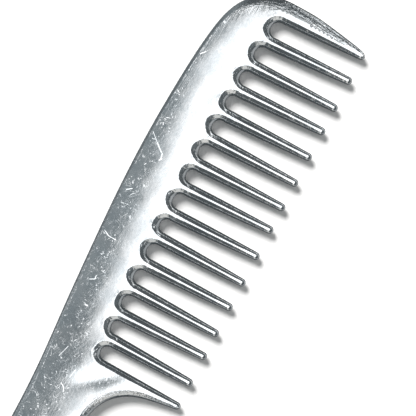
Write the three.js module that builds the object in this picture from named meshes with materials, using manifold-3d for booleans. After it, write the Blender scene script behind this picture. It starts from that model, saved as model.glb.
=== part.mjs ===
// A wide-tooth handled comb, cast in one piece of aluminium and polished.
// Units are millimetres and +Z is up. The comb lies flat, its handle towards -X, its nose
// towards +X, its teeth towards -Y and its back towards +Y.
//
// While it is built, x = 0 is the middle of the row of teeth, y = 0 is the line through the
// teeth's tips, and z = 0 is the parting plane halfway up. The group at the end moves the
// whole comb so that its origin is the middle of its base.
import * as THREE from "three";
import { ConvexGeometry } from "three/addons/geometries/ConvexGeometry.js";
import { mergeVertices } from "three/addons/utils/BufferGeometryUtils.js";
import Module from "manifold-3d";

const wasm = await Module();
wasm.setup();

// ---- driving dimensions ---------------------------------------------------------------

const thickness = 5.2;          // flat land to flat land
const partingWall = 0.5;        // height of the upright wall around the parting line
const backHeight = 44.5;        // tips to the highest point of the back edge
const noseX = 60.1;             // middle of the tooth row to the nose
const handleEndX = -154.9;      // middle of the tooth row to the end of the handle

const toothCount = 15;
const toothPitch = 8;
const rowHalfLength = toothPitch * (toothCount - 1) / 2;
const rootPlane = 24.8;         // height above the tips where a tooth joins the spine
const endRootPlane = 14;        // the same for the two end teeth, which join lower
const neckX = -77;              // where the handle meets the heel
const gapTopMiddle = 29.4;      // height of the top of a gap in the middle of the row
const gapTopDrop = 2.5;         // how much lower the gaps at the ends of the row reach

const edgeWidth = 1.5;          // width of the rolled edge, seen from above
const edgeSegments = 3;
const crownWidth = 6;           // width of the sloping band along the back and handle
const crownDrop = 1;            // how far each face falls over that band
const crownSegments = 3;
const crownEndX = 48;           // the crown runs out before the nose
const crownFarHeight = 32;      // height its outline then makes for, well beyond the comb

const hangHoleRadius = 3.6;
const hangHoleX = -145;
const hangHoleY = 30.4;

// Hand-finished castings are never quite regular. Each tooth's ridge stands this far off its
// place on the pitch, [at the root plane, at the tip].
const toothShift = [
  [0, 0], [-0.1, -0.5], [-0.4, 0], [-0.5, -0.7], [-0.5, -0.3],
  [-0.3, -0.5], [-0.5, 0], [-0.3, 0.4], [-0.7, -0.4], [-0.7, -0.6],
  [-0.7, -0.3], [-0.8, -0.1], [-0.9, -0.6], [-0.8, 0.1], [-0.4, 0],
];

// Half the width of a tooth at the parting plane: [height above the tip, half width].
const tipRoundHeight = 1.1;     // below this the tip rounds off
const midToothHeight = 16;
const toothTaper = [
  [0, 0.45], [0.45, 0.88], [tipRoundHeight, 1.1], [6, 1.33], [midToothHeight, 1.65],
  [rootPlane, 1.88], [backHeight, 1.92],
];

// Outlines at the parting plane, as points that a smooth curve passes through.
// From the outer side of the guard tooth, round the nose and along the back to the neck.
const noseAndBack = [
  [57.3, 1.3], [58.2, 6], [59.2, 12], [59.95, 18], [noseX, 23], [59.9, 28], [58.3, 33],
  [55.2, 37.2], [50.5, 40.1], [43, 42], [30, 43.4], [16, 44.2], [2, backHeight], [-14, 44.2],
  [-30, 43.45], [-46, 42.5], [-60, 41.55], [-74, 41.1],
];
// Round the handle, from the back of the neck to its underside.
const handleLoop = [
  [-74, 41.1], [-90, 41.4], [-108, 42], [-126, 42.1], [-140, 41.4], [-148.7, 38.9],
  [-153.3, 35.1], [handleEndX, 30.4], [-153.3, 25.7], [-148.7, 21.9], [-140, 19.9],
  [-126, 19.5], [-108, 20.2], [-91, 21.7], [-77, 22.5],
];
// The finger rest, from the underside of the neck down the outer side of the heel tooth.
const fingerRest = [
  [-77, 22.5], [-71.5, 22.1], [-66.2, 20.6], [-62.2, 17.6], [-59.6, 13.5], [-58.4, 9.5],
  [-57.6, 5], [-57, 1.3],
];

const curveSteps = 3;           // straight steps between two points of an outline
const gapSteps = 12;            // straight steps round the top of a gap

// The body is modelled a little past the planes where it meets the teeth, so that its rounded
// edges die out beyond them, and is then cut off at those planes.
const stubLength = 6;           // how far past its plane each inner root is modelled
const bodyLowest = 5;           // how far down the outer sides of the two end roots are
const clearance = 40;           // how far helper shapes reach beyond the comb

const polishedAluminium = new THREE.MeshStandardMaterial({
  color: 0xc9ccd0, roughness: 0.24, metalness: 1,
});

// ---- small helpers --------------------------------------------------------------------

// Reads a list of [height, value] pairs as a line drawn through them.
function valueAt(table, height) {
  const last = table.length - 2;
  const row = Math.min(last, table.findIndex((entry, i) => i > last || height <= table[i + 1][0]));
  const [lowHeight, lowValue] = table[row];
  const [highHeight, highValue] = table[row + 1];
  return lowValue + (highValue - lowValue) * (height - lowHeight) / (highHeight - lowHeight);
}

function smoothLine(points) {
  const corners = points.map(([x, y]) => new THREE.Vector3(x, y, 0));
  const curve = new THREE.CatmullRomCurve3(corners, false, "centripetal");
  return curve.getPoints((points.length - 1) * curveSteps).map((p) => [p.x, p.y]);
}

function shapeOf(points) {
  return new THREE.Shape(points.map(([x, y]) => new THREE.Vector2(x, y)));
}

function solidOf(geometry) {
  const bare = geometry.index ? geometry.toNonIndexed() : geometry.clone();
  bare.deleteAttribute("normal");
  bare.deleteAttribute("uv");
  const merged = mergeVertices(bare, 1e-4);
  return new wasm.Manifold(new wasm.Mesh({
    numProp: 3,
    vertProperties: new Float32Array(merged.attributes.position.array),
    triVerts: new Uint32Array(merged.index.array),
  }));
}

function meshOf(name, solid) {
  const { vertProperties, triVerts } = solid.getMesh();
  const geometry = new THREE.BufferGeometry();
  geometry.setAttribute("position", new THREE.BufferAttribute(vertProperties, 3));
  geometry.setIndex(new THREE.BufferAttribute(triVerts, 1));
  geometry.computeVertexNormals();
  const mesh = new THREE.Mesh(geometry, polishedAluminium);
  mesh.name = name;
  return mesh;
}

// A slab with the given outline at the parting plane, whose faces round over near the edge.
function slab(shape, edge, drop, segments) {
  const wall = thickness - 2 * drop;
  const geometry = new THREE.ExtrudeGeometry(shape, {
    depth: wall, steps: 1, bevelThickness: drop, bevelSize: edge, bevelOffset: -edge,
    bevelSegments: segments,
  });
  geometry.translate(0, 0, -wall / 2);
  return solidOf(geometry);
}

// ---- the teeth and the gaps between them ------------------------------------------------

function ridgeX(tooth, height) {
  const [rootShift, tipShift] = toothShift[tooth];
  const shift = tipShift + (rootShift - tipShift) * height / rootPlane;
  return -rowHalfLength + tooth * toothPitch + shift;
}

function toothSideX(tooth, side, height) {
  return ridgeX(tooth, height) + side * valueAt(toothTaper, height);
}

// The gap after a tooth has a round top. Its centre is found where the gap's two sides are.
function gapArch(tooth) {
  const middle = (ridgeX(tooth, rootPlane) + ridgeX(tooth + 1, rootPlane)) / 2;
  const top = gapTopMiddle - gapTopDrop * Math.abs(middle / rowHalfLength) ** 3;
  const left = toothSideX(tooth, 1, rootPlane);
  const right = toothSideX(tooth + 1, -1, rootPlane);
  const radius = (right - left) / 2;
  return { x: (left + right) / 2, y: top - radius, radius };
}

// Up one side of the gap, over its round top and down the other side.
function gapOutline(tooth) {
  const arch = gapArch(tooth);
  const points = [];
  for (let step = 0; step <= gapSteps; step += 1) {
    const angle = Math.PI * (1 - step / gapSteps);
    points.push([arch.x + arch.radius * Math.cos(angle), arch.y + arch.radius * Math.sin(angle)]);
  }
  return points;
}

// The inner side of an end tooth, from its root down to where the body's outline closes.
function endToothInnerSide(tooth, side) {
  const heights = [rootPlane, midToothHeight, bodyLowest];
  return heights.map((height) => [toothSideX(tooth, side, height), height]);
}

// The section of a tooth at one height: flat ridges, rolled edges and an upright wall.
function toothSection(height, left, right, edge, halfThickness) {
  const points = [];
  const drop = halfThickness - partingWall / 2;
  for (let step = 0; step <= edgeSegments; step += 1) {
    const angle = step / edgeSegments * Math.PI / 2;
    const inset = edge * (1 - Math.sin(angle));
    const z = partingWall / 2 + drop * Math.cos(angle);
    for (const x of [left + inset, right - inset]) {
      points.push(new THREE.Vector3(x, height, z), new THREE.Vector3(x, height, -z));
    }
  }
  return points;
}

// How a tooth thins from its root to its tip: [share of its height, half thickness, edge].
const toothThinning = [
  [1, thickness / 2, edgeWidth],
  [0.6, 2.4, 1.4],
  [0.24, 1.86, 1.1],
  [0.045, 1.42, 0.86],
  [0.018, 1.15, 0.7],
  [0, 0.7, 0.36],
];

function tooth(index, root, leftX, rightX) {
  const points = [];
  for (const [share, halfThickness, edge] of toothThinning) {
    const height = share * root;
    points.push(...toothSection(height, leftX(height), rightX(height), edge, halfThickness));
  }
  const name = `tooth_${String(index + 1).padStart(2, "0")}`;
  return meshOf(name, solidOf(new ConvexGeometry(points)));
}

// Where a smooth outline crosses a height, read between its two nearest points.
function outlineX(outline, height) {
  const rising = [...outline].sort((a, b) => a[1] - b[1]);
  return valueAt(rising.map(([x, y]) => [y, x]), Math.max(height, rising[0][1]));
}

function makeTeeth() {
  const last = toothCount - 1;
  const beside = ([, y]) => y < midToothHeight;
  const restSide = smoothLine(fingerRest).filter(beside);
  const guardSide = smoothLine(noseAndBack).filter(beside);
  const teeth = [];
  for (let index = 0; index < toothCount; index += 1) {
    const root = index === 0 || index === last ? endRootPlane : rootPlane;
    const inner = (side) => (height) => toothSideX(index, side, height);
    const outerTip = (outline, side) => (height) => (
      height < tipRoundHeight ? toothSideX(index, side, height) : outlineX(outline, height)
    );
    const left = index === 0 ? outerTip(restSide, -1) : inner(-1);
    const right = index === last ? outerTip(guardSide, 1) : inner(1);
    teeth.push(tooth(index, root, left, right));
  }
  return teeth;
}

// ---- the body: handle, heel, spine and nose ---------------------------------------------

function bodyShape() {
  const last = toothCount - 1;
  const stub = rootPlane - stubLength;
  const kept = ([, y]) => y > bodyLowest;
  const points = [
    ...smoothLine(noseAndBack).filter(kept),
    ...smoothLine(handleLoop).slice(1),
    ...smoothLine(fingerRest).slice(1).filter(kept),
    ...endToothInnerSide(0, 1).reverse(),
  ];
  for (let index = 0; index < last; index += 1) {
    points.push(...gapOutline(index));
    if (index + 1 < last) {
      points.push([toothSideX(index + 1, -1, rootPlane), rootPlane]);
      points.push([toothSideX(index + 1, -1, stub), stub]);
      points.push([toothSideX(index + 1, 1, stub), stub]);
      points.push([toothSideX(index + 1, 1, rootPlane), rootPlane]);
    }
  }
  points.push(...endToothInnerSide(last, -1));
  const shape = shapeOf(points);
  const hole = new THREE.Path();
  hole.absarc(hangHoleX, hangHoleY, hangHoleRadius, 0, 2 * Math.PI, true);
  shape.holes.push(hole);
  return shape;
}

// The crown falls away towards the back edge and all round the handle. Past the neck and the
// nose its outline runs clear of the comb, so the teeth and the nose keep their full height.
function crownShape() {
  const farX = noseX + clearance;
  const back = smoothLine(noseAndBack.filter(([x, y]) => x < crownEndX && y > rootPlane));
  const handle = smoothLine(handleLoop.slice(0, -1));
  const neckUnderside = handle[handle.length - 1];
  return shapeOf([
    [farX, -clearance], [farX, crownFarHeight], ...back, ...handle.slice(1),
    [neckUnderside[0], -clearance],
  ]);
}

function regionBox(lowX, highX, lowY) {
  const high = backHeight + clearance;
  const box = new THREE.BoxGeometry(highX - lowX, high - lowY, 3 * thickness);
  box.translate((lowX + highX) / 2, (lowY + high) / 2, 0);
  return solidOf(box);
}

function makeBody() {
  const plate = slab(bodyShape(), edgeWidth, (thickness - partingWall) / 2, edgeSegments);
  const crown = slab(crownShape(), crownWidth, crownDrop, crownSegments);
  const casting = plate.intersect(crown);
  const firstGapX = gapArch(0).x;
  const lastGapX = gapArch(toothCount - 2).x;
  const regions = {
    handle: regionBox(handleEndX - clearance, neckX, 0),
    heel: regionBox(neckX, firstGapX, endRootPlane),
    spine: regionBox(firstGapX, lastGapX, rootPlane),
    nose: regionBox(lastGapX, noseX + clearance, endRootPlane),
  };
  return Object.entries(regions).map(([name, box]) => meshOf(name, casting.intersect(box)));
}

// ---- the comb -----------------------------------------------------------------------------

const comb = new THREE.Group();
comb.position.set(-(noseX + handleEndX) / 2, -backHeight / 2, thickness / 2);
comb.add(...makeBody(), ...makeTeeth());

export default comb;
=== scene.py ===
"""The looks of a polished cast-aluminium comb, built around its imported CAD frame.

Outlines are in millimetres, in the frame the casting was drawn in: x = 0 is the middle of the
row of teeth, y = 0 is the line through the teeth's tips and z = 0 is the parting plane. They
become metres in the part's own frame when a piece is made.
"""
import math

import bpy
import numpy as np
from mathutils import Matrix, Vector
from mathutils.geometry import delaunay_2d_cdt
from mathutils.kdtree import KDTree


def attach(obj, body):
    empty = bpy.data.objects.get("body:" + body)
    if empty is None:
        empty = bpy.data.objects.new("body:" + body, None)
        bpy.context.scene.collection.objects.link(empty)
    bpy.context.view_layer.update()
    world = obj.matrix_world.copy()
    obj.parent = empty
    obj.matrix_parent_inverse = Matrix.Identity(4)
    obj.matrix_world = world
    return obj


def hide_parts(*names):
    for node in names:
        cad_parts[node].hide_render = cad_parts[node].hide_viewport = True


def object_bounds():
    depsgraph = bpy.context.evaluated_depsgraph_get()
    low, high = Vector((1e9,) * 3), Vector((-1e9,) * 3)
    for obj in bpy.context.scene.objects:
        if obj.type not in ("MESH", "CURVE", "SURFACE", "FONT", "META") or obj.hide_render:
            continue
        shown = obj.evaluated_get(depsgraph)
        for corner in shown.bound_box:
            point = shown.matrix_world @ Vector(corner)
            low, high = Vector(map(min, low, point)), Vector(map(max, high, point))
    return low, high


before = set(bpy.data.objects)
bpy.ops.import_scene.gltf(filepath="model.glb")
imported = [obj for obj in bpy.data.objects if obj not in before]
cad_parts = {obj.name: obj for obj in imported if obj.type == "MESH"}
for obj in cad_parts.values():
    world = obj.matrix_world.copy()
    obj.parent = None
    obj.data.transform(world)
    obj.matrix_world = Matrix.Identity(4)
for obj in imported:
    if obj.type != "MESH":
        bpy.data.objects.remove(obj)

cad_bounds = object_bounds()

MM = 0.001

# ---- driving dimensions, the same as the CAD part's -------------------------------------

HALF_THICKNESS = 2.6
HALF_WALL = 0.22                # half the height of the upright wall at the parting line
HANDLE_END_X = -154.9

TOOTH_COUNT = 15
TOOTH_PITCH = 8.0
ROW_HALF_LENGTH = TOOTH_PITCH * (TOOTH_COUNT - 1) / 2
ROOT_PLANE = 24.8               # where a tooth's node ends and the spine's begins
END_ROOT_PLANE = 14.0           # the same for the two end teeth
NECK_X = -77.0                  # where the handle's node ends and the heel's begins
GAP_TOP_MIDDLE = 29.4
GAP_TOP_DROP = 2.5

TIP_RADIUS = 1.08
ROOT_HALF_WIDTH = 1.9
TOOTH_TAPER_HEIGHT = 26.0
TAPER_POWER = 1.35              # how soon the width levels out on the way up
THINNING_POWER = 2.2            # how soon the thickness does
TIP_HALF_THICKNESS = 1.3
RIDGE_HALF_WIDTH = 0.1          # of the flat on top of a tooth
TIP_RIDGE_EXTRA = 0.16          # how much wider the flat is at the tip
TIP_RIDGE_HEIGHT = 4.5          # how far up the tooth it widens
TIP_EXTRA_EDGE = 0.36           # how much wider the bevel is at the very end of a tooth
ROOT_RIDGE_EXTRA = 0.2          # how much wider the flat is where it runs into the spine
ROOT_RIDGE_HEIGHTS = (22.0, 27.0)  # where that starts, and where it is complete
ARCH_EXTRA_EDGE = 0.8           # how much wider the bevel is at the top of a gap
ARCH_UNEVENNESS = 0.07          # share by which hand work varies the bevel's width there
ARCH_LEAD = 0.4                 # how far below the arch's centre the straight sides end

HANG_HOLE = (-145.0, 30.4, 3.6)  # centre x, centre y, radius
HANG_HOLE_EDGE = 1.4

# How far each tooth's ridge stands off its place on the pitch: at the root plane, at the tip.
TOOTH_SHIFT = [
    (0, 0), (-0.1, -0.5), (-0.4, 0), (-0.5, -0.7), (-0.5, -0.3),
    (-0.3, -0.5), (-0.5, 0), (-0.3, 0.4), (-0.7, -0.4), (-0.7, -0.6),
    (-0.7, -0.3), (-0.8, -0.1), (-0.9, -0.6), (-0.8, 0.1), (-0.4, 0),
]

# The outer outline from the guard tooth's tip, round the nose and along the back to the handle's
# end, then back along the finger rest to the heel tooth's tip. Each row is a point that a smooth
# curve passes through: x, y, width of the rolled edge there, width of the crowned band beside
# the edge, and how far the face drops across that band.
BACK_OUTLINE = [
    (56.0, 0.0, 0.5, 6, 0), (56.8, 0.5, 0.6, 6, 0), (57.3, 1.6, 0.9, 6, 0),
    (58.2, 6, 1.8, 6, 0), (59.2, 12, 3.0, 6, 0), (59.95, 18, 4.2, 6, 0),
    (60.1, 23, 4.6, 6, 0.1), (59.9, 28, 4.4, 6.5, 0.35), (58.3, 33, 3.6, 7, 0.55),
    (55.2, 37.2, 2.7, 7.2, 0.55), (50.5, 40.1, 1.8, 7.2, 0.42), (43, 42, 1.2, 7.4, 0.34),
    (34, 43.1, 1.1, 7.4, 0.33), (25, 43.75, 1.1, 8.3, 0.41), (15, 44.25, 1.1, 9.8, 0.57),
    (2, 44.5, 1.1, 11.5, 0.79), (-14, 44.2, 1.1, 12.2, 0.89), (-30, 43.45, 1.2, 13.1, 1.02),
    (-46, 42.5, 1.3, 14.4, 1.21), (-60, 41.55, 1.4, 21, 1.52), (-74, 41.1, 1.6, 21, 1.4),
    (-90, 41.4, 1.8, 20, 1.4), (-108, 42, 2.0, 18, 1.4), (-126, 42.1, 2.0, 18, 1.4),
    (-140, 41.4, 2.0, 17, 1.3), (-148.7, 38.9, 2.0, 14, 1.1), (-153.3, 35.1, 2.0, 11, 0.8),
    (-154.9, 30.4, 2.0, 9, 0.6),
]
FRONT_OUTLINE = [
    (-154.9, 30.4, 2.0, 9, 0.6), (-153.3, 25.7, 2.0, 8, 0.6), (-148.7, 21.9, 2.0, 7, 0.6),
    (-140, 19.9, 2.0, 7, 0.7), (-126, 19.5, 2.0, 7, 0.7), (-108, 20.2, 2.1, 7, 0.7),
    (-91, 21.7, 2.2, 7, 0.6), (-77, 22.5, 2.3, 6, 0.4), (-71.5, 22.1, 2.4, 5, 0.2),
    (-66.2, 20.6, 2.5, 4, 0), (-62.2, 17.6, 2.4, 4, 0), (-59.6, 13.5, 2.2, 4, 0),
    (-58.4, 9.5, 1.8, 4, 0), (-57.6, 5, 1.3, 4, 0), (-57.1, 1.6, 0.9, 4, 0),
    (-56.7, 0.45, 0.6, 4, 0), (-56.0, 0.0, 0.5, 4, 0),
]
CROWN_BOTTOM = 17.0             # the crowned band runs only where the outline is above this

# A shallow hollow between the finger rest and the first gap: the middle of it, the direction
# it runs in, how far it reaches that way and across, and its depth.
HEEL_HOLLOW_CENTRE = (-58.6, 23.6)
HEEL_HOLLOW_TURN = math.radians(-52)
HEEL_HOLLOW_REACH = (5.2, 1.8)
HEEL_HOLLOW_DEPTH = 0.44

# Slow waves that hand polishing leaves in the face: wavelengths along x and y, height.
POLISH_WAVES = [(13.0, 9.0, 0.006), (-7.5, 17.0, 0.005), (5.2, -11.0, 0.003), (21.0, 6.1, 0.004)]

FRONT_ROUNDNESS = 0.35          # of the finger rest's edge: 0 is as round the gaps, 1 as on the back

# How closely points are set along the rim, over the face and across the rolled edge. The last
# are shares of the edge's width.
OUTLINE_SPACING = 0.4
SIDE_SPACING = 0.4
SAME_POINT = 0.01               # points of the rim that are closer than this are one
ARCH_STEPS = 29
TIP_STEPS = 9
HOLE_STEPS = 60
FACE_SPACING = 0.75
FACE_ROW_SPACING = FACE_SPACING * 0.866  # makes the net's triangles equal-sided
RING_SPACING = 0.09
RING_DEPTHS = (0.02, 0.05, 0.1, 0.17, 0.26, 0.37, 0.48, 0.6, 0.72, 0.8, 0.87, 0.94, 1.0, 1.25)
CUT_CLEARANCE = 0.16            # how far other points stay from a cut between nodes
MIDDLE_CLEARANCE = 0.06         # how far a cut's two rows of edge points stay from its middle


# ---- the outline of the casting ----------------------------------------------------------

def natural_spline(rows, spacing):
    """A smooth curve through rows of numbers, whose first two columns are x and y."""
    rows = np.array(rows, float)
    steps = np.hypot(*np.diff(rows[:, :2], axis=0).T)
    knots = np.concatenate([[0], np.cumsum(steps)])
    count = len(rows)
    matrix = np.eye(count)
    right = np.zeros_like(rows)
    slopes = np.diff(rows, axis=0) / steps[:, None]
    for i in range(1, count - 1):
        matrix[i, i - 1:i + 2] = steps[i - 1], 2 * (steps[i - 1] + steps[i]), steps[i]
        right[i] = 6 * (slopes[i] - slopes[i - 1])
    bend = np.linalg.solve(matrix, right)
    at = np.linspace(0, knots[-1], int(knots[-1] / spacing) + 1)
    i = np.clip(np.searchsorted(knots, at, side="right") - 1, 0, count - 2)
    h = steps[i][:, None]
    low = (knots[i + 1] - at)[:, None]
    high = (at - knots[i])[:, None]
    return (bend[i] * low ** 3 + bend[i + 1] * high ** 3) / (6 * h) \
        + (rows[i] / h - bend[i] * h / 6) * low + (rows[i + 1] / h - bend[i + 1] * h / 6) * high


def ridge_x(tooth, height):
    root_shift, tip_shift = TOOTH_SHIFT[tooth]
    shift = tip_shift + (root_shift - tip_shift) * height / ROOT_PLANE
    return -ROW_HALF_LENGTH + tooth * TOOTH_PITCH + shift


def taper(height):
    """0 at a tooth's tip and 1 at its root, levelling out on the way up."""
    return 1 - (1 - np.clip(height / TOOTH_TAPER_HEIGHT, 0, 1)) ** TAPER_POWER


def half_width(height):
    straight = TIP_RADIUS + (ROOT_HALF_WIDTH - TIP_RADIUS) * taper(height)
    rounding = 1 - np.clip(height / TIP_RADIUS, 0, 1)
    return straight * np.sqrt(1 - rounding ** 2)


def side_edge(height):
    """The width of a tooth's bevel: what its flat ridge leaves of its half width."""
    straight = TIP_RADIUS + (ROOT_HALF_WIDTH - TIP_RADIUS) * taper(height)
    ridge = RIDGE_HALF_WIDTH + TIP_RIDGE_EXTRA * np.exp(-(height / TIP_RIDGE_HEIGHT) ** 2)
    low, high = ROOT_RIDGE_HEIGHTS
    ridge += ROOT_RIDGE_EXTRA * np.clip((height - low) / (high - low), 0, 1)
    return straight - ridge + TIP_EXTRA_EDGE * (1 - np.clip(height / TIP_RADIUS, 0, 1))


def side_heights(top):
    angles = np.linspace(0, math.pi / 2, TIP_STEPS)
    tip = TIP_RADIUS * (1 - np.cos(angles))
    steps = int((top - TIP_RADIUS) / SIDE_SPACING)
    return np.concatenate([tip, np.linspace(TIP_RADIUS, top, steps)[1:]])


def tooth_side(tooth, side, top):
    """One side of a tooth from its tip up: rows of x, y, bevel width and 0 for an inner rim."""
    heights = side_heights(top)
    x = ridge_x(tooth, heights) + side * half_width(heights)
    return np.column_stack([x, heights, side_edge(heights), np.zeros(len(heights))])


def gap_arch(tooth):
    """The round top of the gap after a tooth: centre x, centre y, radius."""
    left = ridge_x(tooth, ROOT_PLANE) + half_width(ROOT_PLANE)
    right = ridge_x(tooth + 1, ROOT_PLANE) - half_width(ROOT_PLANE)
    middle = (left + right) / 2
    top = GAP_TOP_MIDDLE - GAP_TOP_DROP * abs(middle / ROW_HALF_LENGTH) ** 3
    radius = (right - left) / 2
    return middle, top - radius, radius


def gap_line(tooth):
    """Up one side of the gap after a tooth, over its round top and down the other side."""
    x, y, radius = gap_arch(tooth)
    up = tooth_side(tooth, 1, y - ARCH_LEAD)
    down = tooth_side(tooth + 1, -1, y - ARCH_LEAD)[::-1]
    angles = np.linspace(math.pi, 0, ARCH_STEPS)
    edge = side_edge(y) + ARCH_EXTRA_EDGE * np.sin(angles) ** 2
    edge *= 1 + ARCH_UNEVENNESS * np.sin(angles) * np.sin(4 * angles + 2.4 * tooth)
    arch = np.column_stack([x + radius * np.cos(angles), y + radius * np.sin(angles),
                            edge, np.zeros(len(angles))])
    return np.vstack([up, arch, down[:-1]])


def hole_line():
    x, y, radius = HANG_HOLE
    angles = np.linspace(2 * math.pi, 0, HOLE_STEPS, endpoint=False)
    return np.column_stack([x + radius * np.cos(angles), y + radius * np.sin(angles),
                            np.full(len(angles), HANG_HOLE_EDGE), np.ones(len(angles))])


class Rim:
    """A closed line of points with values along it, and the nearest place on it."""

    def __init__(self, loops):
        self.points = np.vstack([loop[:, :2] for loop in loops])
        self.values = np.vstack([loop[:, 2:] for loop in loops])
        self.after = []
        start = 0
        for loop in loops:
            self.after += [start + (i + 1) % len(loop) for i in range(len(loop))]
            start += len(loop)
        self.after = np.array(self.after)
        steps = np.hypot(*(self.points[self.after] - self.points).T)
        self.along = np.concatenate([[0], np.cumsum(steps)[:-1]])
        self.before = np.empty_like(self.after)
        self.before[self.after] = np.arange(len(self.after))
        self.tree = KDTree(len(self.points))
        for i, (x, y) in enumerate(self.points):
            self.tree.insert((x, y, 0), i)
        self.tree.balance()

    def nearest(self, places):
        """Distances to the rim, and the rim's values at the nearest places on it."""
        first = self.nearest_point(places)
        best = np.full(len(places), np.inf)
        values = np.zeros((len(places), self.values.shape[1]))
        for a, b in ((self.before[first], first), (first, self.after[first])):
            along = self.points[b] - self.points[a]
            share = ((places - self.points[a]) * along).sum(1) / (along ** 2).sum(1)
            share = np.clip(share, 0, 1)[:, None]
            distance = np.hypot(*(places - self.points[a] - share * along).T)
            closer = distance < best
            best[closer] = distance[closer]
            mixed = self.values[a] + share * (self.values[b] - self.values[a])
            values[closer] = mixed[closer]
        return best, values

    def nearest_point(self, places):
        return np.array([self.tree.find((x, y, 0))[1] for x, y in places])


FIRST_GAP_X = gap_arch(0)[0]
LAST_GAP_X = gap_arch(TOOTH_COUNT - 2)[0]


def node_cuts():
    """The straight cuts between nodes: axis held, its value, and the span of the other axis."""
    above_back = GAP_TOP_MIDDLE * 2
    cuts = [(0, x, END_ROOT_PLANE, above_back) for x in (NECK_X, FIRST_GAP_X, LAST_GAP_X)]
    cuts.append((1, END_ROOT_PLANE, NECK_X, FIRST_GAP_X))
    cuts.append((1, END_ROOT_PLANE, LAST_GAP_X, -NECK_X))
    for tooth in range(1, TOOTH_COUNT - 1):
        x = ridge_x(tooth, ROOT_PLANE)
        cuts.append((1, ROOT_PLANE, x - TOOTH_PITCH / 2, x + TOOTH_PITCH / 2))
    return cuts


def with_crossings(loop):
    """Adds the points where the loop crosses the cuts between nodes."""
    for axis, value, low, high in node_cuts():
        side = loop[:, axis] - value
        after = np.roll(loop, -1, axis=0)
        crosses = side * np.roll(side, -1) < 0
        for i in np.flatnonzero(crosses)[::-1]:
            point = loop[i] + (after[i] - loop[i]) * side[i] / (loop[i, axis] - after[i, axis])
            point[axis] = value
            if low < point[1 - axis] < high:
                loop = np.insert(loop, i + 1, point, axis=0)
    return loop


def build_rims():
    back = natural_spline(BACK_OUTLINE, OUTLINE_SPACING)
    front = natural_spline(FRONT_OUTLINE, OUTLINE_SPACING)
    loop = [np.column_stack([line[:, :3], np.full(len(line), roundness)])
            for line, roundness in ((back, 1.0), (front, FRONT_ROUNDNESS))]
    loop += [gap_line(tooth) for tooth in range(TOOTH_COUNT - 1)]
    loop = np.vstack(loop)
    gaps = np.hypot(*(loop[:, :2] - np.roll(loop[:, :2], 1, axis=0)).T)
    loop = with_crossings(loop[gaps > SAME_POINT])
    crowns = [line[line[:, 1] > CROWN_BOTTOM][:, [0, 1, 3, 4]] for line in (back, front)]
    return Rim([loop, hole_line()]), [Rim([crown]) for crown in crowns]


# ---- the shape of the polished face -------------------------------------------------------

# The edge rises steeply from the upright wall, turns into a gentler bevel and rounds onto the
# face. All of it is measured as a share of the edge's width and height.
BEVEL_SLOPE = 0.44              # of the gentle part next to the face
ROLL_SLOPE = 1.6                # how much is added to it next to the wall
ROLL_END = 0.27                 # where the two meet
ROLL_SOFTNESS = 0.045           # how gradually they do
FACET_END = 0.8                 # where the rounding onto the face starts, round the gaps
OUTER_FACET_END = 0.45          # the same round the back and the nose, which are rounder
STEEP_WIDTH = 0.028             # how quickly the steep start dies away
EDGE_ACROSS = np.linspace(0, 1, 600)


def edge_tables(facet_end):
    """Heights and slopes of the edge at even steps from the wall to the face."""
    fade = np.clip((EDGE_ACROSS - facet_end) / (1 - facet_end), 0, 1)
    facet = BEVEL_SLOPE + ROLL_SLOPE / (1 + np.exp((EDGE_ACROSS - ROLL_END) / ROLL_SOFTNESS))
    facet *= 1 - fade ** 2 * (3 - 2 * fade)
    steep = np.exp(-EDGE_ACROSS / STEEP_WIDTH)
    step = EDGE_ACROSS[1]
    steep *= (1 - facet.sum() * step) / (steep.sum() * step)
    slope = facet + steep
    height = np.cumsum(slope) * step
    return (height - height[0]) / (height[-1] - height[0]), slope


INNER_EDGE = edge_tables(FACET_END)
OUTER_EDGE = edge_tables(OUTER_FACET_END)

WEAR_NAMES = ("worn", "cast", "streaked", "along_rim", "from_rim")
CLEAN_SLOPE = 0.045             # of the crown, up to which it stays clean
WORN_SLOPE = 0.09               # of the crown, where it is fully covered in small scratches
EDGE_FINISH_END = 1.05          # share of the edge's width where the edge's own finish ends
EDGE_FINISH_FADE = 0.2          # share over which it fades out
STREAKS_PER_ROUNDNESS = 3       # how streaked an edge is for its roundness, up to 1
TOOTH_CAST = 0.4                # how cast-looking the bevels on the teeth are; round an arch, 1
CAST_RISE = 4.0                 # over what height it grows, from where the ridge widens
SLOPE_STEP = 0.015              # over which the slope of the surface is measured


def half_thickness(y):
    """The teeth thin towards their tips; the spine doesn't."""
    share = 1 - (1 - np.clip(y / TOOTH_TAPER_HEIGHT, 0, 1)) ** THINNING_POWER
    return TIP_HALF_THICKNESS + (HALF_THICKNESS - TIP_HALF_THICKNESS) * share


def crown_fall(places):
    """How far the face falls away towards its back and its finger rest."""
    fall = np.zeros(len(places))
    for crown in crowns:
        distance, values = crown.nearest(places)
        width, drop = values.T
        fall += drop * (1 - np.clip(distance / width, 0, 1)) ** 2
    return fall


def heel_hollow(places):
    """1 in the middle of the heel's hollow, fading to 0 around it."""
    from_x, from_y = (places - HEEL_HOLLOW_CENTRE).T
    cosine, sine = math.cos(HEEL_HOLLOW_TURN), math.sin(HEEL_HOLLOW_TURN)
    along = (from_x * cosine + from_y * sine) / HEEL_HOLLOW_REACH[0]
    across = (from_y * cosine - from_x * sine) / HEEL_HOLLOW_REACH[1]
    return np.exp(-(along ** 2 + across ** 2) / 2)


def hand_work(places):
    """The heel's hollow and the slow waves of a hand-polished face."""
    x, y = places.T
    waves = sum(size * np.sin(2 * math.pi * (x / along_x + y / along_y))
                for along_x, along_y, size in POLISH_WAVES)
    waves *= np.clip((y - END_ROOT_PLANE) / (ROOT_PLANE - END_ROOT_PLANE), 0, 1)
    return waves - HEEL_HOLLOW_DEPTH * heel_hollow(places)


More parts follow.
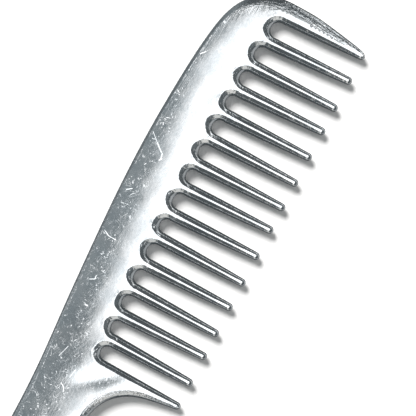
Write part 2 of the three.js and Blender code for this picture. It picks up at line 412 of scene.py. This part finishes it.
def face_height(places):
    """The height the face would have with no rolled edge."""
    return half_thickness(places[:, 1]) - crown_fall(places) + hand_work(places)


def edge_share(places):
    """How far across the rolled edge each place is: 0 at the wall, 1 and over on the face.

    The second value says whether that edge is on the outer outline (1) or round a gap (0).
    """
    distance, values = rim.nearest(places)
    return distance / values[:, 0], values[:, 1]


def edge_mix(share, outer, column):
    """The edge's height (column 0) or slope (column 1) at a share of its width."""
    inner_value = np.interp(share, EDGE_ACROSS, INNER_EDGE[column])
    outer_value = np.interp(share, EDGE_ACROSS, OUTER_EDGE[column])
    return inner_value + (outer_value - inner_value) * outer


def crown_wear(places):
    """How worn the face is, from 0 to 1: in the heel's hollow and where a crown is steep."""
    worn = heel_hollow(places)
    for crown in crowns:
        distance, values = crown.nearest(places)
        width, drop = values.T
        slope = 2 * drop / width * (1 - np.clip(distance / width, 0, 1))
        worn = np.maximum(worn, np.clip((slope - CLEAN_SLOPE) / (WORN_SLOPE - CLEAN_SLOPE), 0, 1))
    return worn


def wear(places):
    """What the material needs to know at each place, in the order of WEAR_NAMES.

    How worn the face is, how far the place is on a bevel round a gap and on an outer edge (all
    from 0 to 1), and its distance along the rim and from it.
    """
    distance, values = rim.nearest(places)
    edge, outer = values.T
    on_edge = np.clip((EDGE_FINISH_END - distance / edge) / EDGE_FINISH_FADE, 0, 1)
    streaked = on_edge * np.clip(outer * STREAKS_PER_ROUNDNESS, 0, 1)
    above_teeth = np.clip((places[:, 1] - ROOT_RIDGE_HEIGHTS[0]) / CAST_RISE, 0, 1)
    cast = (on_edge - streaked) * (TOOTH_CAST + (1 - TOOTH_CAST) * above_teeth)
    worn = np.maximum(crown_wear(places), on_edge * outer)
    along = rim.along[rim.nearest_point(places)]
    return worn, cast, streaked, along * MM, distance * MM


def slope_along(axis, value_at, places):
    offset = np.zeros(2)
    offset[axis] = SLOPE_STEP
    return (value_at(places + offset) - value_at(places - offset)) / (2 * SLOPE_STEP)


def surface(places):
    """Heights and unit normals of the top surface."""
    share, outer = edge_share(places)
    face = face_height(places)
    share_slope = np.column_stack([slope_along(axis, lambda at: edge_share(at)[0], places)
                                   for axis in (0, 1)])
    face_slope = np.column_stack([slope_along(axis, face_height, places) for axis in (0, 1)])
    rise = edge_mix(share, outer, 0)
    steep = np.where(share < 1, edge_mix(share, outer, 1), 0)
    height = HALF_WALL + (face - HALF_WALL) * rise
    slope = face_slope * rise[:, None] + ((face - HALF_WALL) * steep)[:, None] * share_slope
    normals = np.column_stack([-slope, np.ones(len(places))])
    return height, normals / np.linalg.norm(normals, axis=1)[:, None]


# ---- points to build the mesh on -----------------------------------------------------------

def rim_normals():
    """Unit vectors that point into the metal from each point of the rim."""
    along = rim.points[rim.after] - rim.points[rim.before]
    inward = np.column_stack([-along[:, 1], along[:, 0]])
    return inward / np.hypot(*inward.T)[:, None]


class Sieve:
    """Keeps points that are no closer to each other than a spacing."""

    def __init__(self, spacing):
        self.spacing = spacing
        self.taken = {}

    def keep(self, x, y):
        column = math.floor(x / self.spacing)
        row = math.floor(y / self.spacing)
        for i in (column - 1, column, column + 1):
            for j in (row - 1, row, row + 1):
                for other_x, other_y in self.taken.get((i, j), ()):
                    if (x - other_x) ** 2 + (y - other_y) ** 2 < self.spacing ** 2:
                        return False
        self.taken.setdefault((column, row), []).append((x, y))
        return True


def ring_points():
    """Rows of points that follow the rim, close together where the edge turns quickly."""
    inward = rim_normals()
    edge = rim.values[:, 0]
    kept = []
    for depth in RING_DEPTHS:
        places = rim.points + inward * (depth * edge)[:, None]
        distance, _ = rim.nearest(places)
        clear = distance > depth * edge * 0.995 - 1e-4
        sieve = Sieve(RING_SPACING)
        kept += [place for place, good in zip(places, clear) if good and sieve.keep(*place)]
    return np.array(kept)


def face_points():
    """An even net of points over the face, clear of the rows that follow the rim."""
    low = rim.points.min(0)
    high = rim.points.max(0)
    places = []
    for row, y in enumerate(np.arange(low[1], high[1], FACE_ROW_SPACING)):
        start = low[0] + (row % 2) * FACE_SPACING / 2
        places += [(x, y) for x in np.arange(start, high[0], FACE_SPACING)]
    places = np.array(places)
    distance, values = rim.nearest(places)
    return places, distance, values


def inside(places):
    """Whether places are on the metal, counted by the rim lines that a ray crosses."""
    result = np.zeros(len(places), bool)
    for start, end in zip(rim.points, rim.points[rim.after]):
        if start[1] == end[1]:
            continue
        spans = (places[:, 1] > min(start[1], end[1])) & (places[:, 1] <= max(start[1], end[1]))
        x = start[0] + (places[:, 1] - start[1]) * (end[0] - start[0]) / (end[1] - start[1])
        result ^= spans & (places[:, 0] < x)
    return result


# ---- the pieces ----------------------------------------------------------------------------

def cut_points():
    """Points along each cut between nodes, as rows from one side of the metal to the other."""
    rows = []
    for axis, value, low, high in node_cuts():
        across = rim.points[:, 1 - axis]
        on_cut = (np.abs(rim.points[:, axis] - value) < 1e-6) & (across > low) & (across < high)
        ends = np.flatnonzero(on_cut)
        if len(ends) != 2:
            raise ValueError(f"a cut at {value} mm meets the rim {len(ends)} times, not twice")
        first, last = sorted(ends, key=lambda i: across[i])
        start = across[first] + np.array(RING_DEPTHS) * rim.values[first, 0]
        stop = across[last] - np.array(RING_DEPTHS)[::-1] * rim.values[last, 0]
        middle = (across[first] + across[last]) / 2
        start = start[start < middle - MIDDLE_CLEARANCE]
        stop = stop[stop > middle + MIDDLE_CLEARANCE]
        between = np.linspace(start[-1], stop[0], int((stop[0] - start[-1]) / FACE_SPACING) + 2)
        line = np.concatenate([start, between[1:-1], stop])
        places = np.full((len(line), 2), value)
        places[:, 1 - axis] = line
        rows.append((first, places, last))
    return rows


def near_cut(places):
    """Whether places are so close to a cut that they would crowd its own points."""
    crowded = np.zeros(len(places), bool)
    for axis, value, low, high in node_cuts():
        across = places[:, 1 - axis]
        close = np.abs(places[:, axis] - value) < CUT_CLEARANCE
        crowded |= close & (across > low) & (across < high)
    return crowded


def region_names(places):
    """The CAD node that each place belongs to."""
    names = []
    for x, y in places:
        tooth = round((x + ROW_HALF_LENGTH) / TOOTH_PITCH)
        if x < NECK_X:
            names.append("handle")
        elif x < FIRST_GAP_X:
            names.append("heel" if y > END_ROOT_PLANE else "tooth_01")
        elif x > LAST_GAP_X:
            names.append("nose" if y > END_ROOT_PLANE else f"tooth_{TOOTH_COUNT:02d}")
        else:
            names.append("spine" if y > ROOT_PLANE else f"tooth_{tooth + 1:02d}")
    return names


def triangulate():
    """All the points of the top surface, and its triangles, sorted by node."""
    points = [rim.points]
    edges = [(i, int(after)) for i, after in enumerate(rim.after)]
    count = len(rim.points)
    for first, places, last in cut_points():
        chain = [int(first), *range(count, count + len(places)), int(last)]
        edges += list(zip(chain, chain[1:]))
        points.append(places)
        count += len(places)
    rings = ring_points()
    points.append(rings[~near_cut(rings)])
    places, distance, values = face_points()
    clear = distance > values[:, 0] * RING_DEPTHS[-1] + FACE_SPACING / 2
    clear &= inside(places) & ~near_cut(places)
    points.append(places[clear])
    points = np.vstack(points)
    result = delaunay_2d_cdt([Vector(point) for point in points], edges, [], 0, 1e-7, False)
    if len(result[0]) != len(points):
        raise ValueError("the triangulation moved or added points")
    triangles = np.array(result[2])
    middles = points[triangles].mean(axis=1)
    metal = inside(middles)
    return points, triangles[metal], np.array(region_names(middles[metal]))


def border_edges(triangles):
    """Edges that only one triangle has, in that triangle's direction."""
    edges = np.vstack([triangles[:, [0, 1]], triangles[:, [1, 2]], triangles[:, [2, 0]]])
    known = {(int(a), int(b)) for a, b in edges}
    return np.array([edge for edge in known if edge[::-1] not in known])


def wall_shading(points, used, border, outward):
    """Normals at each wall's four corners, and whether the wall lies on the rim.

    A wall on the rim is shaded round; one on a cut between nodes is flat.
    """
    rim_count = len(rim.points)
    on_rim = (used[border] < rim_count).all(axis=1)
    on_rim &= rim.after[np.minimum(used[border[:, 0]], rim_count - 1)] == used[border[:, 1]]
    smooth = outward[np.where(used < rim_count, used, 0)]
    start, end = smooth[border[:, 0]], smooth[border[:, 1]]
    normals = np.stack([start, end, end, start], axis=1)
    along = points[used][border[:, 1]] - points[used][border[:, 0]]
    flat = np.column_stack([along[:, 1], -along[:, 0], np.zeros(len(along))])
    flat /= np.linalg.norm(flat, axis=1)[:, None]
    normals[~on_rim] = flat[~on_rim][:, None, :]
    return normals.reshape(-1, 3), on_rim


def build_piece(name, points, heights, normals, wears, triangles, outward):
    """A closed solid: the top, its mirror image below, and walls where the top ends."""
    used, local = np.unique(triangles, return_inverse=True)
    local = local.reshape(-1, 3)
    count = len(used)
    border = border_edges(local)
    walls = np.column_stack([border[:, 0] + count, border[:, 1] + count, border[:, 1], border[:, 0]])
    wall_normals, on_rim = wall_shading(points, used, border, outward)
    top = np.column_stack([points[used], heights[used]])
    vertices = np.vstack([top, top * (1, 1, -1)]) * MM + part_origin()
    faces = [*local.tolist(), *(local[:, ::-1] + count).tolist(), *walls.tolist()]
    top_normals = normals[used][local].reshape(-1, 3)
    bottom_normals = normals[used][local[:, ::-1]].reshape(-1, 3) * (1, 1, -1)

    mesh = bpy.data.meshes.new(name)
    mesh.from_pydata(vertices.tolist(), [], faces)
    mesh.polygons.foreach_set("use_smooth", np.ones(len(faces), bool))
    for key, values in zip(WEAR_NAMES, wears):
        attribute = mesh.attributes.new(key, "FLOAT", "POINT")
        attribute.data.foreach_set("value", np.tile(values[used], 2))
    mark_cut_edges(mesh, walls[~on_rim])
    mesh.normals_split_custom_set(np.vstack([top_normals, bottom_normals, wall_normals]).tolist())
    piece = bpy.data.objects.new(name, mesh)
    bpy.context.scene.collection.objects.link(piece)
    return piece


def mark_cut_edges(mesh, cut_walls):
    """The hidden walls between nodes meet the polished face at a sharp edge."""
    sharp = set()
    for wall in cut_walls.tolist():
        sharp.add(tuple(sorted(wall[:2])))
        sharp.add(tuple(sorted(wall[2:])))
    for edge in mesh.edges:
        if tuple(sorted(edge.vertices)) in sharp:
            edge.use_edge_sharp = True


def part_origin():
    """Where x = 0, y = 0, z = 0 of the drawing lies in the part's frame, in metres."""
    low, high = cad_bounds
    return np.array([low[0] - HANDLE_END_X * MM, low[1], (low[2] + high[2]) / 2])


def make_comb(material):
    points, triangles, names = triangulate()
    heights, normals = surface(points)
    wears = wear(points)
    outward = np.column_stack([-rim_normals(), np.zeros(len(rim.points))])
    normals[:len(outward)] = outward
    for node in sorted(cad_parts):
        piece = build_piece(f"{node}_polished", points, heights, normals, wears,
                            triangles[names == node], outward)
        piece.data.materials.append(material)
        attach(piece, "root")
        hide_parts(node)


# ---- materials -------------------------------------------------------------------------------

class Graph:
    """Short calls for building a material or world out of nodes."""

    def __init__(self, owner):
        owner.use_nodes = True
        self.tree = owner.node_tree
        self.tree.nodes.clear()

    def node(self, kind, inputs=None, **settings):
        made = self.tree.nodes.new(kind)
        for key, value in settings.items():
            setattr(made, key, value)
        for key, value in (inputs or {}).items():
            self.feed(made.inputs[key], value)
        return made

    def feed(self, socket, value):
        if isinstance(value, bpy.types.NodeSocket):
            self.tree.links.new(value, socket)
        else:
            socket.default_value = value

    def math(self, operation, *values):
        made = self.node("ShaderNodeMath", operation=operation)
        for socket, value in zip(made.inputs, values):
            self.feed(socket, value)
        return made.outputs[0]

    def span(self, value, low, high, to_low=0.0, to_high=1.0, smooth=True):
        kind = "SMOOTHSTEP" if smooth else "LINEAR"
        inputs = {0: value, 1: low, 2: high, 3: to_low, 4: to_high}
        return self.node("ShaderNodeMapRange", inputs, interpolation_type=kind).outputs[0]

    def place(self, scale=(1, 1, 1), turn=0.0, shift=(0, 0, 0)):
        """Object coordinates, stretched and turned about Z."""
        coordinates = self.node("ShaderNodeTexCoord").outputs["Object"]
        turned = self.node("ShaderNodeVectorRotate", {"Vector": coordinates, "Angle": turn})
        inputs = {"Vector": turned.outputs[0], "Scale": scale, "Location": shift}
        return self.node("ShaderNodeMapping", inputs).outputs[0]

    def noise(self, vector, scale, detail=2.0, roughness=0.5, distortion=0.0):
        """Cloudy values spread evenly about 0, so that fading them out moves nothing else."""
        inputs = {"Vector": vector, "Scale": scale, "Detail": detail, "Roughness": roughness,
                  "Distortion": distortion}
        made = self.node("ShaderNodeTexNoise", inputs)
        return self.math("SUBTRACT", made.outputs[0], 0.5)

    def total(self, *values):
        return self.chain("ADD", values)

    def product(self, *values):
        return self.chain("MULTIPLY", values)

    def chain(self, operation, values):
        result = values[0]
        for value in values[1:]:
            result = self.math(operation, result, value)
        return result

    def vector(self, operation, *values, **named):
        made = self.node("ShaderNodeVectorMath", named, operation=operation)
        for socket, value in zip(made.inputs, values):
            self.feed(socket, value)
        return made.outputs["Value" if operation in ("DOT_PRODUCT", "LENGTH") else "Vector"]

    def mesh_value(self, name):
        return self.node("ShaderNodeAttribute", attribute_name=name).outputs["Fac"]

    def show(self, kind, shader):
        output = self.node(kind)
        self.feed(output.inputs["Surface"], shader)


# Single scratches that stand out: where each starts and ends, and its width, in drawing
# millimetres.
SCRATCHES = [
    (9.6, 43.2, 7.7, 41.0, 0.16), (7.3, 40.6, 5.5, 38.4, 0.34), (5.3, 38.0, 3.6, 37.6, 0.3),
    (3.9, 37.4, 3.2, 37.9, 0.3), (-8.4, 42.2, -7.4, 40.9, 0.26),
    (-21.4, 42.3, -22.3, 40.6, 0.28), (-22.3, 40.6, -22.4, 38.2, 0.22),
    (-35.6, 39.6, -34.9, 38.3, 0.24), (-34.9, 38.3, -33.8, 38.4, 0.24),
    (-67.2, 31.4, -65.9, 31.9, 0.24), (-65.9, 31.9, -65.3, 33.0, 0.24),
    (-62.6, 31.6, -60.2, 31.2, 0.28), (-58.8, 37.2, -55.2, 36.1, 0.16),
    (35.2, 41.6, 36.4, 40.5, 0.3),
]
SCRATCH_TILT = (-0.03, -0.24, 0)  # how far the deepest scratches tilt the metal
FLECKS = [(900, 0.26, 0.2), (1700, 0.34, 0.1)]  # cells per metre, radius in cells, share used
FLECK_TILT = (0.4, 0.4, 0)
HAIRLINES = [(0.5, 0.01), (1.5, 0.03), (-0.6, 0.05)]  # direction in radians, place in the noise
HAIRLINE_DEPTH = 0.4

# How high the fine relief of the finish stands, in millimetres.
MOTTLE_HEIGHT = 0.008
WORN_MOTTLE_HEIGHT = 0.02       # added where the face is worn
STREAKED_MOTTLE_HEIGHT = 0.09   # added on outer edges
CAST_MOTTLE_HEIGHT = 0.07       # added on the bevels round the gaps
GRAIN_HEIGHT = 0.01
STREAK_HEIGHT = 0.13
PATCH_HEIGHT = 0.24
POLISH_HEIGHTS = (0.004, 0.03)  # of the marks along the comb, away from the nose and at the nose
POLISH_SPAN = (0.05, 0.09)      # between which x, in metres in the part's frame, they grow


def scratch(graph, place, x0, y0, x1, y1, width):
    """1 along a scratch and 0 away from it."""
    start = np.array([x0, y0, 0]) * MM + part_origin()
    along = np.array([x1 - x0, y1 - y0, 0]) * MM
    start[2] = 0
    from_start = graph.vector("SUBTRACT", place, start)
    share = graph.vector("DOT_PRODUCT", from_start, along / (along @ along))
    share = graph.math("MINIMUM", graph.math("MAXIMUM", share, 0.0), 1.0)
    nearest = graph.vector("SCALE", along, Scale=share)
    distance = graph.vector("LENGTH", graph.vector("SUBTRACT", from_start, nearest))
    return graph.span(distance, 0.35 * width * MM, 0.65 * width * MM, 1, 0)


def flecks(graph, place, scale, radius, share):
    """Small dents in some of the cells of a net: how far each tilts the metal, and which way."""
    cells = graph.node("ShaderNodeTexVoronoi", {"Vector": place, "Scale": scale})
    distance, colour = cells.outputs[:2]
    chosen = graph.node("ShaderNodeSeparateColor", {"Color": colour}).outputs[2]
    spot = graph.product(graph.span(distance, radius * 0.6, radius, 1, 0),
                         graph.math("LESS_THAN", chosen, share))
    way = graph.vector("SUBTRACT", colour, (0.5, 0.75, 0.5))
    return graph.vector("SCALE", graph.vector("MULTIPLY", way, FLECK_TILT), Scale=spot)


def hairlines(graph, turn, seed):
    """Short curved scratches that run roughly one way."""
    place = graph.place(scale=(1, 5, 1), turn=turn, shift=(seed, seed, 0))
    waves = graph.noise(place, 190, detail=1, distortion=0.6)
    line = graph.span(graph.math("ABSOLUTE", waves), 0.004, 0.016, 1, 0)
    kept = graph.noise(graph.place(shift=(seed, 0, 0)), 420, detail=1)
    return graph.product(line, graph.span(kept, 0.06, 0.12))


def fleck_tilts(graph, plain, flat, worn):
    """Two sizes of fleck, bent out of round and crowded together in places."""
    bends = graph.node("ShaderNodeTexNoise", {"Vector": plain, "Scale": 1300.0}).outputs["Color"]
    bent = graph.vector("ADD", flat, graph.vector("SCALE", bends, Scale=0.0014))
    spots = graph.vector("ADD", *[flecks(graph, bent, *row) for row in FLECKS])
    crowded = graph.span(graph.noise(plain, 260), -0.08, 0.1, 0.25, 1)
    return graph.vector("SCALE", spots, Scale=graph.product(crowded, worn))


def scratch_depth(graph, plain, flat, worn):
    """Hairlines where the face is worn, and the single scratches: 0 for none, 1 for the deepest."""
    lines = graph.total(*[hairlines(graph, *row) for row in HAIRLINES])
    lines = graph.product(lines, HAIRLINE_DEPTH, worn)
    strokes = graph.total(*[scratch(graph, flat, *row) for row in SCRATCHES])
    strokes = graph.product(strokes, graph.span(graph.noise(plain, 420), -0.12, 0.1, 0.45, 1))
    return graph.math("MINIMUM", graph.total(lines, strokes), 1.0)


def dents(graph, plain):
    """How far flecks and scratches tilt the metal, as a vector to add to its normal."""
    worn = graph.mesh_value("worn")
    flat = graph.vector("MULTIPLY", plain, (1, 1, 0))
    depth = scratch_depth(graph, plain, flat, worn)
    scratches = graph.vector("SCALE", SCRATCH_TILT, Scale=depth)
    return graph.vector("ADD", fleck_tilts(graph, plain, flat, worn), scratches)


def polish_marks(graph, plain):
    """Marks of polishing along the comb, deepest at the nose."""
    marks = graph.noise(graph.place(scale=(1, 30, 1), turn=0.06), 110)
    x = graph.node("ShaderNodeSeparateXYZ", {"Vector": plain}).outputs[0]
    return graph.product(marks, graph.span(x, *POLISH_SPAN, *POLISH_HEIGHTS))


def rim_streaks(graph):
    """Noise drawn out along the rim."""
    place = graph.node("ShaderNodeCombineXYZ", {
        "X": graph.mesh_value("along_rim"),
        "Y": graph.product(graph.mesh_value("from_rim"), 8.0),
    }).outputs[0]
    return graph.noise(place, 300, roughness=0.6)


def finish_relief(graph, plain, mottle, patches):
    """How high the finish stands at each place, in millimetres."""
    worn = graph.mesh_value("worn")
    cast = graph.mesh_value("cast")
    streaked = graph.mesh_value("streaked")
    mottle_height = graph.total(
        MOTTLE_HEIGHT,
        graph.product(worn, WORN_MOTTLE_HEIGHT),
        graph.product(streaked, STREAKED_MOTTLE_HEIGHT),
        graph.product(cast, CAST_MOTTLE_HEIGHT),
    )
    return graph.total(
        graph.product(mottle, mottle_height),
        graph.product(graph.noise(plain, 3600), worn, GRAIN_HEIGHT),
        graph.product(polish_marks(graph, plain), worn),
        graph.product(rim_streaks(graph), streaked, STREAK_HEIGHT),
        graph.product(patches, cast, PATCH_HEIGHT),
    )


def metal_colour(graph, plain, mottle):
    """Two close tones of aluminium in clouds."""
    clouds = graph.noise(plain, 150, detail=3)
    tone = graph.total(graph.product(clouds, 0.6), graph.product(mottle, 0.4))
    colour = graph.node("ShaderNodeMix", data_type="RGBA")
    graph.feed(colour.inputs[0], graph.span(tone, -0.12, 0.12))
    graph.feed(colour.inputs[6], (0.80, 0.83, 0.85, 1))
    graph.feed(colour.inputs[7], (0.96, 0.965, 0.97, 1))
    return colour.outputs[2]


def polished_aluminium():
    """Hand-polished casting: bright and cloudy, with a worn, scratched band along its back."""
    material = bpy.data.materials.new("polished_aluminium")
    graph = Graph(material)
    plain = graph.place()
    patches = graph.noise(plain, 520)
    mottle = graph.noise(plain, 1300, detail=3, roughness=0.6)
    relief = finish_relief(graph, plain, mottle, patches)
    bump = graph.node("ShaderNodeBump", {"Height": relief, "Strength": 1.0, "Distance": MM})
    tilted = graph.vector("ADD", bump.outputs[0], dents(graph, plain))
    shader = graph.node("ShaderNodeBsdfPrincipled", {
        "Base Color": metal_colour(graph, plain, mottle), "Metallic": 1.0,
        "Roughness": graph.span(patches, -0.15, 0.15, 0.07, 0.16),
        "Normal": graph.vector("NORMALIZE", tilted),
    })
    graph.show("ShaderNodeOutputMaterial", shader.outputs[0])
    return material


def floor_material():
    material = bpy.data.materials.new("pale_floor")
    graph = Graph(material)
    shader = graph.node("ShaderNodeBsdfPrincipled", {
        "Base Color": (0.912, 0.9, 0.886, 1), "Roughness": 0.9, "Specular IOR Level": 0.1,
    })
    graph.show("ShaderNodeOutputMaterial", shader.outputs[0])
    return material


# ---- the studio --------------------------------------------------------------------------------

FLOOR_HALF_SIDE = 3.0
FLOOR_GAP = 0.00005             # keeps the floor from touching the comb's underside
AMBIENT_SHARE = 0.73            # of the room's light that reaches the floor and other dull things
SOFTBOX_STRENGTH = 1.35

# Soft round cards: the way to each, the cosines of the angle from it at which its light starts
# and is full, and its strength. A wall card also ends at a height, and fades out just below it.
WARM_CARD = ((-0.702, -0.549, 0.454), 0.91, 0.96, 0.6)
WALL_CARDS = [
    (((-0.6, 0.68, 0.42), 0.76, 0.98, 0.45), 0.66),
    (((0.68, -0.68, 0.2), 0.72, 0.95, 0.42), 0.42),
]
WALL_CARD_FADE = 0.12

SUN_STRENGTH = 5.4
SUN_WIDTH = math.radians(29)
SUN_FROM = (1.4, 2.05, 2.6)     # behind the comb's back, so that shadows fall past the tips

CAMERA_AIM = (-2.3, 19.4)       # the place on the comb that the camera looks straight down at
CAMERA_TURN = math.radians(-62.2)  # so that the comb runs from lower left to upper right
CAMERA_LENS = 200.0
CAMERA_SENSOR = 36.0
CAMERA_FIELD = 117.75           # width of the view at the comb


def make_floor():
    side = FLOOR_HALF_SIDE
    mesh = bpy.data.meshes.new("floor")
    corners = [(-side, -side, 0), (side, -side, 0), (side, side, 0), (-side, side, 0)]
    mesh.from_pydata(corners, [], [(0, 1, 2, 3)])
    mesh.materials.append(floor_material())
    floor = bpy.data.objects.new("floor", mesh)
    floor.location.z = cad_bounds[0][2] - FLOOR_GAP
    floor.visible_glossy = False
    bpy.context.scene.collection.objects.link(floor)


def softbox(graph, x, y, z):
    """Overhead and towards the teeth's side, laid out as on a ceiling at height 1."""
    up = graph.math("MAXIMUM", z, 0.02)
    across = graph.math("ABSOLUTE", graph.math("DIVIDE", x, up))
    ahead = graph.math("DIVIDE", y, up)
    return graph.product(graph.span(across, 0.42, 0.56, SOFTBOX_STRENGTH, 0),
                         graph.span(ahead, 0.02, 0.19, 1, 0, smooth=False),
                         graph.span(ahead, -0.66, -0.52, 0, 1))


def room(graph, x, y, z):
    """Dim walls, lightest towards the comb's back, and a faint glow high in front."""
    back = graph.math("SUBTRACT", y, graph.product(graph.math("ABSOLUTE", x), 0.8))
    walls = graph.product(graph.span(back, -0.15, 0.3, 0.09, 0.24),
                          graph.span(back, 0.4, 0.9, 1, 0.7),
                          graph.span(z, 0, 0.9, 0.9, 1.2))
    glow = graph.product(graph.span(z, 0.55, 0.68), graph.span(y, -0.8, -0.55, 0.08, 0))
    return graph.total(walls, glow)


def card(graph, direction, towards, light_starts, light_full, strength):
    cosine = graph.vector("DOT_PRODUCT", direction, towards)
    return graph.span(cosine, light_starts, light_full, 0, strength)


def low_lights(graph, direction, x, y, z):
    """A strip low at each end of the comb, a light low in front of it, and the wall cards."""
    toward_strip = graph.total(graph.product(graph.math("ABSOLUTE", x), 0.956),
                               graph.product(y, -0.292))
    strips = graph.product(graph.span(z, -0.35, -0.2), graph.span(z, 0.22, 0.34, 1, 0),
                           graph.span(toward_strip, 0.93, 0.97), graph.span(x, -0.2, 0.2, 0.4, 1))
    front = graph.product(graph.span(z, -0.1, 0.15, 1, 0), graph.span(y, -0.8, -0.5, 0.3, 0))
    walls = [graph.product(card(graph, direction, *wall),
                           graph.span(z, top - WALL_CARD_FADE, top, 1, 0))
             for wall, top in WALL_CARDS]
    return graph.total(strips, front, *walls)


def background(graph, colour, strength):
    inputs = {"Color": colour, "Strength": strength}
    return graph.node("ShaderNodeBackground", inputs).outputs[0]


def mixed(graph, share, first, second):
    return graph.node("ShaderNodeMixShader", {0: share, 1: first, 2: second}).outputs[0]


def make_world():
    """A dim bluish room with an overhead softbox, a warm card and low lights, and a white
    background behind the comb. Directions are split into x, y and z.
    """
    world = bpy.data.worlds.new("studio")
    bpy.context.scene.world = world
    graph = Graph(world)
    direction = graph.node("ShaderNodeTexCoord").outputs["Generated"]
    x, y, z = graph.node("ShaderNodeSeparateXYZ", {"Vector": direction}).outputs
    lamps = [
        background(graph, (0.98, 0.99, 1, 1), softbox(graph, x, y, z)),
        background(graph, (0.84, 0.95, 1, 1), room(graph, x, y, z)),
        background(graph, (1, 0.98, 0.93, 1), card(graph, direction, *WARM_CARD)),
        background(graph, (0.97, 0.99, 1, 1), low_lights(graph, direction, x, y, z)),
    ]
    light = lamps[0]
    for lamp in lamps[1:]:
        light = graph.node("ShaderNodeAddShader", {0: light, 1: lamp}).outputs[0]
    rays = graph.node("ShaderNodeLightPath").outputs
    ambient = mixed(graph, AMBIENT_SHARE, background(graph, (0, 0, 0, 1), 0.0), light)
    light = mixed(graph, rays["Is Glossy Ray"], ambient, light)
    white = background(graph, (1, 1, 1, 1), 1.0)
    graph.show("ShaderNodeOutputWorld", mixed(graph, rays["Is Camera Ray"], light, white))


def make_key_light():
    sun = bpy.data.lights.new("key", "SUN")
    sun.energy = SUN_STRENGTH
    sun.angle = SUN_WIDTH
    light = bpy.data.objects.new("key", sun)
    light.rotation_euler = Vector(SUN_FROM).to_track_quat("Z", "Y").to_euler()
    light.visible_glossy = False
    bpy.context.scene.collection.objects.link(light)


def make_camera():
    camera = bpy.data.cameras.new("camera")
    camera.lens = CAMERA_LENS
    camera.sensor_width = CAMERA_SENSOR
    holder = bpy.data.objects.new("camera", camera)
    distance = CAMERA_FIELD * CAMERA_LENS / CAMERA_SENSOR
    holder.location = np.array([*CAMERA_AIM, distance]) * MM + part_origin()
    holder.rotation_euler = (0, 0, CAMERA_TURN)
    bpy.context.scene.collection.objects.link(holder)
    bpy.context.scene.camera = holder


rim, crowns = build_rims()
make_camera()
make_comb(polished_aluminium())
make_floor()
make_world()
make_key_light()
bpy.context.scene.view_settings.view_transform = "Standard"
